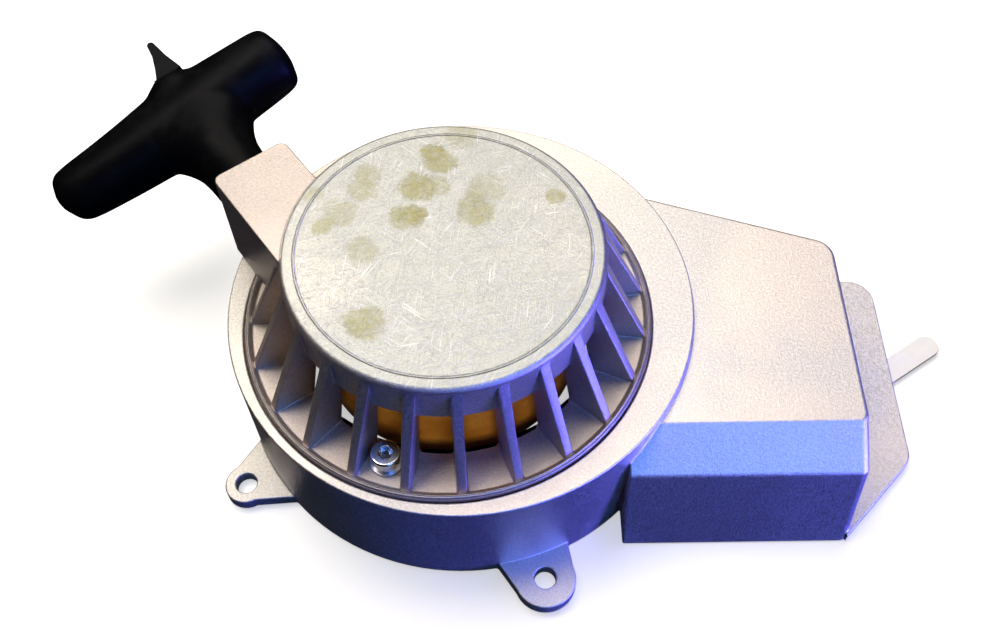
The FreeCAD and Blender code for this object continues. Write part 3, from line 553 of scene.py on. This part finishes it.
# %% [markdown]
# ## The pull handle
# The T handle is one moulding. Its stem carries the rope, and swells into a cross bar with round
# ends that fingers hook over. Bar and stem are each a round profile with a radius that changes
# along its length. A voxel remesh melts them into one skin, and smoothing rolls a fillet into
# the two corners where fingers go.

# %% Bar and stem
def turned_shape(along, radius, axis, deepest=1.0, sides=64):
    """A round profile along an axis, 0 for the rope's line and 1 for across it. The radius grows
    sideways as it likes, but up and down it stops at the deepest value, which gives an oval."""
    turn = np.linspace(0, 2 * pi, sides, endpoint=False)
    first = radius[:, None] * np.cos(turn)
    second = np.minimum(radius, deepest)[:, None] * np.sin(turn)
    length = np.broadcast_to(along[:, None], first.shape)
    if axis == 0:
        return np.stack([length, first, second], -1)
    return np.stack([first, length, second], -1)


def through(stations, values, count=160):
    """A smooth line through the stations, and its distance along."""
    x = np.linspace(stations[0], stations[-1], count)
    y = np.interp(x, stations, values)
    soft = np.convolve(np.pad(y, 4, mode="edge"), np.ones(9) / 9, "valid")
    return x, soft


HANDLE_ROLL = -13  # the bar's turn about the rope's line, in degrees
bar_at = 85.5 * MM  # the bar's place along that line
bulge_height, bulge_width = 0.30, 21 * MM  # the back is fuller in the middle, by this share
sweep, sweep_start, sweep_length = 3.2 * MM, 4 * MM, 38 * MM  # the long arm bends back
sweep_power = 1.3  # above 1, so the bend starts gently
x, r = through(np.array([-30.7, -30.2, -29, -26, -21, -7, 7, 24, 34, 39, 41.5, 42.4]) * MM,
               np.array([0.3, 6.6, 8.6, 9.4, 9.6, 9.9, 9.9, 8.9, 8.2, 7.5, 5.0, 0.3]) * MM, 240)
bar = turned_shape(x, r, 1)
bulge = 1 + bulge_height * np.exp(-((bar[..., 1] / bulge_width) ** 2))
bar[..., 0] = np.where(bar[..., 0] > 0, bar[..., 0] * bulge, bar[..., 0]) + bar_at
bend = np.clip((bar[..., 1] - sweep_start) / sweep_length, 0, 1) ** sweep_power
bar[..., 0] += sweep * bend
x, r = through(np.array([53, 53.8, 55, 62, 67, 71, 75, 79, 84, 91, 95, 98, 98.6]) * MM,
               np.array([7.2, 8.0, 8.2, 8.4, 9.0, 10.3, 12.6, 16, 18, 13.5, 9.6, 7.0, 6.0]) * MM, 200)
stem = turned_shape(x, r, 0, 9.6 * MM)
parts = [grid_mesh(bar), grid_mesh(stem)]
both = np.vstack([parts[0][0], parts[1][0]])
shift = len(parts[0][0])
joined = parts[0][1] + [tuple(i + shift for i in face) for face in parts[1][1]]
raw = new_piece("grip_raw", both, joined)


def baked(piece):
    """The piece's mesh with its modifiers applied."""
    bpy.context.view_layer.update()
    return bpy.data.meshes.new_from_object(piece.evaluated_get(bpy.context.evaluated_depsgraph_get()))


melt = raw.modifiers.new("melt", "REMESH")
melt.mode = "VOXEL"
melt.voxel_size = 0.75 * MM
soft = raw.modifiers.new("soft", "SMOOTH")
soft.factor, soft.iterations = 0.5, 14
mesh = baked(raw)
mesh.transform(rope_place(HANDLE_ROLL))
mesh.shade_smooth()
bpy.data.objects.remove(raw)
grip = bpy.data.objects.new("handle_grip_moulding", mesh)
bpy.context.scene.collection.objects.link(grip)
print("handle grip:", len(mesh.polygons), "faces")

# %% Black moulding
black = Finish("satin_black", Base_Color=(0.010, 0.010, 0.011, 1), Specular_IOR_Level=0.05)
pebble = black.noise(2.2, 3.0, 0.6)
rub = black.noise(0.15, 3.0, 0.6).ramp(0.45, 0.65)
black.surface(Base_Color=black.blend(rub * 0.5, (0.0022, 0.0020, 0.0022), (0.006, 0.0055, 0.0055)),
              Roughness=0.34 + 0.12 * pebble + 0.08 * rub)
black.bump(pebble, 0.04, 0.5)
black.onto(grip)
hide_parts("handle_grip")
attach(grip, "handle")

rubber = Finish("soft_rubber", Base_Color=(0.006, 0.0055, 0.006, 1), Specular_IOR_Level=0.12)
bloom = rubber.noise(0.8, 4.0, 0.65)
rubber.surface(Roughness=0.55 + 0.2 * bloom)
rubber.bump(bloom, 0.05, 0.5)
rubber.onto(soften("handle_plug", 0.35 * MM, "handle", segments=3))

# %% [markdown]
# ## Clip and brake spring
# The tongue at the duct's foot is natural nylon: white, slightly cloudy, with a soft gloss. The
# brake spring is wire wound into a cone, so it is a tube along a spiral that widens as it rises.

# %% White nylon and the wire cone
white = Finish("natural_nylon", Subsurface_Weight=0.15, Subsurface_Radius=(1.5 * MM, 1.5 * MM, 1.3 * MM))
cloud = white.noise(0.3, 3.0, 0.6)
white.surface(Base_Color=white.blend(cloud, (0.88, 0.89, 0.90), (0.78, 0.78, 0.77)),
              Roughness=0.32 + 0.15 * cloud)
white.bump(cloud, 0.05, 0.4)
clip = soften("wire_clip", 0.25 * MM, "root", segments=3)
white.onto(clip)

low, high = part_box("brake_spring")
wire, narrow, coils = 0.32 * MM, 5.5 * MM, 2  # radius of the wire and of the cone's small end
t = np.linspace(0, 1, 220)
widen = narrow + (high.x - wire - narrow) * t
around = 2 * pi * coils * t
cone = np.stack([widen * np.cos(around), widen * np.sin(around),
                 low.z + wire + (high.z - low.z - 2 * wire) * t], 1)
brake = new_piece("brake_spring_wire", *grid_mesh(tube(cone, wire, 10)))
blued.onto(brake)
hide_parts("brake_spring")
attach(brake, "root")

# %% [markdown]
# ## The studio
# The floor is plain and pale. It gives off some light of its own, so that it stays near white, and
# it does not show in reflections. Five lamps light the model. A broad warm one hangs above and
# behind and a weaker one at the left, so that flat tops glow. Two strongly blue ones stand at the
# front right, one high and one low, so that walls which face them turn blue. The blue lamps leave
# out the floor, the clip and the reel, and a small warm lamp lights only the reel and the clip.

# %% Floor
floor_z = cad_box[0][2] - 0.3 * MM
half = 3.0
corners = [(-half, -half, floor_z), (half, -half, floor_z), (half, half, floor_z),
           (-half, half, floor_z)]
floor = new_piece("floor", corners, [(0, 1, 2, 3)])
pale = Finish("pale_floor", Roughness=0.9)
soft_patch = pale.noise(0.002, 2.0, 0.5)
pale.surface(Base_Color=pale.blend(soft_patch, (0.93, 0.93, 0.93), (0.97, 0.97, 0.97)),
             Emission_Color=(1.0, 1.0, 1.0, 1.0), Emission_Strength=0.55)
pale.onto(floor)
floor.visible_glossy = False
floor.visible_diffuse = False
floor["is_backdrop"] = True


# %% Lights
def area_light(name, place, aim, size, power, colour):
    """A square soft light at place that points at aim, with its power in watts."""
    data = bpy.data.lights.new(name, "AREA")
    data.shape, data.size, data.energy, data.color = "SQUARE", size, power, colour
    lamp = bpy.data.objects.new(name, data)
    lamp.location = place
    lamp.rotation_euler = (Vector(aim) - Vector(place)).to_track_quat("-Z", "Y").to_euler()
    bpy.context.scene.collection.objects.link(lamp)
    return lamp


def kept_to(lamp, pieces, state):
    """The lamp lights only these pieces (INCLUDE), or everything but them (EXCLUDE)."""
    group = bpy.data.collections.new(lamp.name + "_pieces")
    for piece in pieces:
        group.objects.link(piece)
    lamp.light_linking.receiver_collection = group
    for linked in group.collection_objects:
        linked.light_linking.link_state = state


area_light("key_above", (-0.06, 0.44, 0.88), (0, 0, 0.04), 0.84, 8.7, (1.0, 0.95, 0.86))
area_light("key_left", (-0.36, 0.10, 0.80), (-0.04, -0.03, 0.01), 0.35, 2.0, (1.0, 0.93, 0.86))
cool_front = area_light("cool_front", (0.30, -0.52, 0.60), (0.03, 0, 0.02), 0.36, 3.4, (0.10, 0.30, 1.0))
cool_side = area_light("cool_side", (0.70, -0.32, 0.06), (0.02, 0, 0.02), 0.35, 20.0, (0.12, 0.12, 1.0))
warm_reel = area_light("warm_reel", (0.06, -0.42, 0.46), (0, -0.03, 0.04), 0.20, 1.5, (1.0, 0.88, 0.70))
# the floor and clip stay white and the reel amber, because the cool lights leave them out
kept_to(cool_front, [floor, clip, reel], "EXCLUDE")
kept_to(cool_side, [floor, clip, reel], "EXCLUDE")
kept_to(warm_reel, [reel, clip], "INCLUDE")
world = bpy.data.worlds.new("studio_air")
world.use_nodes = True
world.node_tree.nodes["Background"].inputs["Color"].default_value = (0.45, 0.42, 0.65, 1)
world.node_tree.nodes["Background"].inputs["Strength"].default_value = 0.015
bpy.context.scene.world = world
bpy.context.scene.view_settings.view_transform = "Standard"

# %% [markdown]
# ## The camera
# It looks down steeply, a little right of the reel's axis, and leans by less than a degree.

# %% Camera
lens = bpy.data.cameras.new("camera")
lens.sensor_width, lens.lens = 36.0, 40.62
pitch, lean = radians(57.402), radians(-0.805)
look = Vector((0, cos(pitch), -sin(pitch)))
right = Vector((1, 0, 0))
up = right.cross(look)
right, up = cos(lean) * right + sin(lean) * up, cos(lean) * up - sin(lean) * right
camera = bpy.data.objects.new("camera", lens)
turn = Matrix((right, up, -look)).transposed().to_4x4()
eye = (11.64 * MM, -155.12 * MM, 274.30 * MM)
camera.matrix_world = Matrix.Translation(eye) @ turn
bpy.context.scene.collection.objects.link(camera)
bpy.context.scene.camera = camera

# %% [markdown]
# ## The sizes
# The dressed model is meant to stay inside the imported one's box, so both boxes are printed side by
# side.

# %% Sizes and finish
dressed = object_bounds()
boxes = {"cad": [list(map(float, corner)) for corner in cad_box],
         "visual": [list(map(float, corner)) for corner in dressed]}
for side, name in enumerate("xyz"):
    print("%s  model %.1f to %.1f mm, dressed %.1f to %.1f mm" % (
        name, boxes["cad"][0][side] / MM, boxes["cad"][1][side] / MM,
        boxes["visual"][0][side] / MM, boxes["visual"][1][side] / MM))
